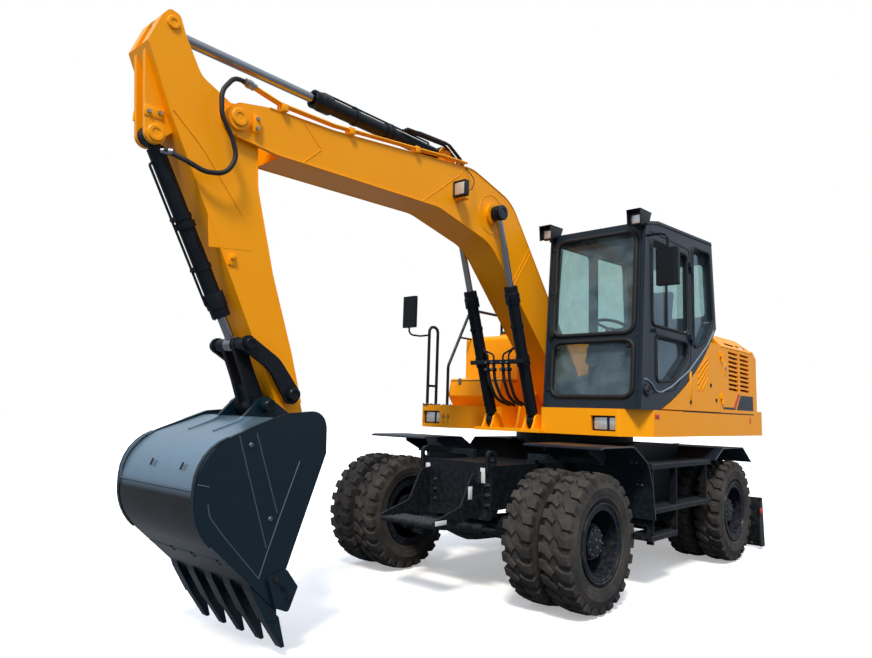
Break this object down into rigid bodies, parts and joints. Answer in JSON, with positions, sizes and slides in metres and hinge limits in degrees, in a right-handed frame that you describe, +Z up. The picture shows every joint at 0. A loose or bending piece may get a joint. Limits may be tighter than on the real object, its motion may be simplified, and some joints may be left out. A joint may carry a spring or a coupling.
{
  "type": "wheeled excavator",
  "caption": "Wheeled excavator with a jointed digging arm and bucket, a swinging upper body with a glazed cab, twin wheels, side steps and a rear dozer blade.",
  "frame": {"origin": "on the ground, under the middle of the machine's bounding box", "axes": "+X forward along the machine's length towards the bucket, +Y to the machine's left (the cab's side), +Z up"},
  "size_m": [7.2471, 3.005, 3.7085],
  "materials": {
    "yellow_paint": "gloss",
    "dark_paint": "satin",
    "fender_paint": "satin",
    "rim_paint": "satin",
    "cab_paint": "satin",
    "engine_iron": "matte",
    "rod_chrome": "polished",
    "tyre_rubber": "matte",
    "tinted_glass": "polished",
    "seat_fabric": "matte",
    "black_plastic": "matte",
    "lamp_lens": "gloss"
  },
  "bodies": {
    "undercarriage": {"chassis_frame": "dark_paint", "front_step": "dark_paint", "fenders": "fender_paint", "side_steps_and_boxes": "dark_paint", "front_axle": "dark_paint", "rear_axle": "dark_paint", "gearbox_and_shafts": "dark_paint"},
    "knuckle_left": {"steering_knuckle_left": "dark_paint"},
    "knuckle_right": {"steering_knuckle_right": "dark_paint"},
    "wheel_front_left": {"rims_front_left": "rim_paint", "tyres_front_left": "tyre_rubber"},
    "wheel_front_right": {"rims_front_right": "rim_paint", "tyres_front_right": "tyre_rubber"},
    "wheel_rear_left": {"rims_rear_left": "rim_paint", "tyres_rear_left": "tyre_rubber"},
    "wheel_rear_right": {"rims_rear_right": "rim_paint", "tyres_rear_right": "tyre_rubber"},
    "blade": {"dozer_blade": "dark_paint"},
    "blade_barrels": {"blade_cylinder_barrels": "dark_paint"},
    "blade_rods": {"blade_cylinder_rods": "rod_chrome"},
    "upper": {"upper_frame": "yellow_paint", "counterweight": "yellow_paint", "engine_block": "engine_iron", "engine_housing": "yellow_paint", "tank_and_tool_box": "yellow_paint", "hand_rails": "dark_paint", "cab_mirror": "dark_paint", "cab_front_frame": "cab_paint", "cab_rear_frame": "cab_paint", "cab_roof": "cab_paint", "cab_floor": "cab_paint", "cab_left_frame": "cab_paint", "cab_right_frame": "cab_paint", "cab_glass": "tinted_glass", "seat": "seat_fabric", "cab_controls": "black_plastic", "lamps": "lamp_lens"},
    "door": {"cab_door": "cab_paint", "cab_door_glass": "tinted_glass"},
    "hood": {"engine_hood": "yellow_paint"},
    "side_door": {"service_door": "yellow_paint"},
    "boom_arm": {"boom": "yellow_paint", "boom_lamp": "lamp_lens"},
    "boom_barrels": {"boom_cylinder_barrels": "dark_paint"},
    "boom_rods": {"boom_cylinder_rods": "rod_chrome"},
    "arm_barrel": {"arm_cylinder_barrel": "dark_paint"},
    "arm_rod": {"arm_cylinder_rod": "rod_chrome"},
    "stick_arm": {"stick": "yellow_paint"},
    "bucket_barrel": {"bucket_cylinder_barrel": "dark_paint"},
    "bucket_rod": {"bucket_cylinder_rod": "rod_chrome"},
    "rockers": {"bucket_rockers": "dark_paint"},
    "link": {"bucket_link": "dark_paint"},
    "bucket_body": {"bucket": "dark_paint"}
  },
  "joints": [
    {"name": "swing", "type": "hinge", "parent": "undercarriage", "child": "upper", "pos_m": [-1.15368, 0, 1.27], "axis": [0, 0, 1], "continuous": true},
    {"name": "boom_lift", "type": "hinge", "parent": "upper", "child": "boom_arm", "pos_m": [-1.01868, -0.06, 1.64], "axis": [0, -1, 0], "range_deg": [-32, 38]},
    {"name": "stick_turn", "type": "hinge", "parent": "boom_arm", "child": "stick_arm", "pos_m": [3.05132, -0.06, 3.195], "axis": [0, 1, 0], "range_deg": [-85, 32]},
    {"name": "bucket_turn", "type": "hinge", "parent": "stick_arm", "child": "bucket_body", "pos_m": [2.42432, -0.06, 1.215], "axis": [0, -1, 0], "range_deg": [-145, 2]},
    {"name": "boom_barrels_turn", "type": "hinge", "parent": "upper", "child": "boom_barrels", "pos_m": [-0.13368, -0.06, 1.37], "axis": [0, -1, 0], "range_deg": [-32.06, 37.98]},
    {"name": "boom_rods_slide", "type": "slide", "parent": "boom_barrels", "child": "boom_rods", "axis": [0.3116, 0, 0.9502], "range_m": [-0.48969, 0.58132]},
    {"name": "arm_barrel_turn", "type": "hinge", "parent": "boom_arm", "child": "arm_barrel", "pos_m": [0.99932, -0.06, 3.613], "axis": [0, 1, 0], "range_deg": [-8.23, 3.41]},
    {"name": "arm_rod_slide", "type": "slide", "parent": "arm_barrel", "child": "arm_rod", "axis": [1, 0, 0.0088], "range_m": [-0.76873, 0.29003]},
    {"name": "bucket_barrel_turn", "type": "hinge", "parent": "stick_arm", "child": "bucket_barrel", "pos_m": [3.51132, -0.06, 2.97], "axis": [0, 1, 0], "range_deg": [-9.38, 0.62]},
    {"name": "bucket_rod_slide", "type": "slide", "parent": "bucket_barrel", "child": "bucket_rod", "axis": [-0.4749, 0, -0.8801], "range_m": [-0.01152, 0.76338]},
    {"name": "rocker_turn", "type": "hinge", "parent": "stick_arm", "child": "rockers", "pos_m": [2.54832, -0.06, 1.51], "axis": [0, 1, 0], "range_deg": [-2.17, 121.72]},
    {"name": "link_turn", "type": "hinge", "parent": "bucket_body", "child": "link", "pos_m": [2.71832, -0.06, 1.434], "axis": [0, 1, 0], "range_deg": [-114.01, 2.07]},
    {"name": "blade_lift", "type": "hinge", "parent": "undercarriage", "child": "blade", "pos_m": [-2.57368, 0, 0.52], "axis": [0, 1, 0], "range_deg": [-12, 25]},
    {"name": "blade_barrels_turn", "type": "hinge", "parent": "undercarriage", "child": "blade_barrels", "pos_m": [-2.65368, 0, 0.975], "axis": [0, 1, 0], "range_deg": [-6.5, 13]},
    {"name": "blade_rods_slide", "type": "slide", "parent": "blade_barrels", "child": "blade_rods", "axis": [-0.6753, 0, -0.7375], "range_m": [-0.16681, 0.08059]},
    {"name": "cab_door_open", "type": "hinge", "parent": "upper", "child": "door", "pos_m": [-1.22568, 1.241, 2.18], "axis": [0, 0, 1], "range_deg": [0, 160]},
    {"name": "service_door_open", "type": "hinge", "parent": "upper", "child": "side_door", "pos_m": [-2.00568, 1.237, 1.65], "axis": [0, 0, -1], "range_deg": [-100, 0]},
    {"name": "hood_open", "type": "hinge", "parent": "upper", "child": "hood", "pos_m": [-2.02768, 0, 2.334], "axis": [0, 1, 0], "range_deg": [0, 65]},
    {"name": "steer_left", "type": "hinge", "parent": "undercarriage", "child": "knuckle_left", "pos_m": [0.54632, 0.62, 0.51], "axis": [0, 0, 1], "range_deg": [-28, 28]},
    {"name": "steer_right", "type": "hinge", "parent": "undercarriage", "child": "knuckle_right", "pos_m": [0.54632, -0.62, 0.51], "axis": [0, 0, 1], "range_deg": [-28.5, 28.5]},
    {"name": "wheel_front_left_spin", "type": "hinge", "parent": "knuckle_left", "child": "wheel_front_left", "pos_m": [0.54632, 0.975, 0.51], "axis": [0, 1, 0], "continuous": true},
    {"name": "wheel_front_right_spin", "type": "hinge", "parent": "knuckle_right", "child": "wheel_front_right", "pos_m": [0.54632, -0.975, 0.51], "axis": [0, 1, 0], "continuous": true},
    {"name": "wheel_rear_left_spin", "type": "hinge", "parent": "undercarriage", "child": "wheel_rear_left", "pos_m": [-2.25368, 0.975, 0.51], "axis": [0, 1, 0], "continuous": true},
    {"name": "wheel_rear_right_spin", "type": "hinge", "parent": "undercarriage", "child": "wheel_rear_right", "pos_m": [-2.25368, -0.975, 0.51], "axis": [0, 1, 0], "continuous": true}
  ],
  "couplings": [
    {"joint": "boom_barrels_turn", "follows": "boom_lift", "ratio": 0.98625},
    {"joint": "boom_rods_slide", "follows": "boom_lift", "m_per_rad": 0.875},
    {"joint": "arm_barrel_turn", "follows": "stick_turn", "ratio": 0.091},
    {"joint": "arm_rod_slide", "follows": "stick_turn", "m_per_rad": 0.5175},
    {"joint": "bucket_barrel_turn", "follows": "bucket_turn", "ratio": 0.06125},
    {"joint": "bucket_rod_slide", "follows": "bucket_turn", "m_per_rad": -0.30125},
    {"joint": "rocker_turn", "follows": "bucket_turn", "ratio": -0.836},
    {"joint": "link_turn", "follows": "bucket_turn", "ratio": 0.7828},
    {"joint": "blade_barrels_turn", "follows": "blade_lift", "ratio": 0.5},
    {"joint": "blade_rods_slide", "follows": "blade_lift", "m_per_rad": -0.38},
    {"joint": "steer_right", "follows": "steer_left", "ratio": 1}
  ]
}
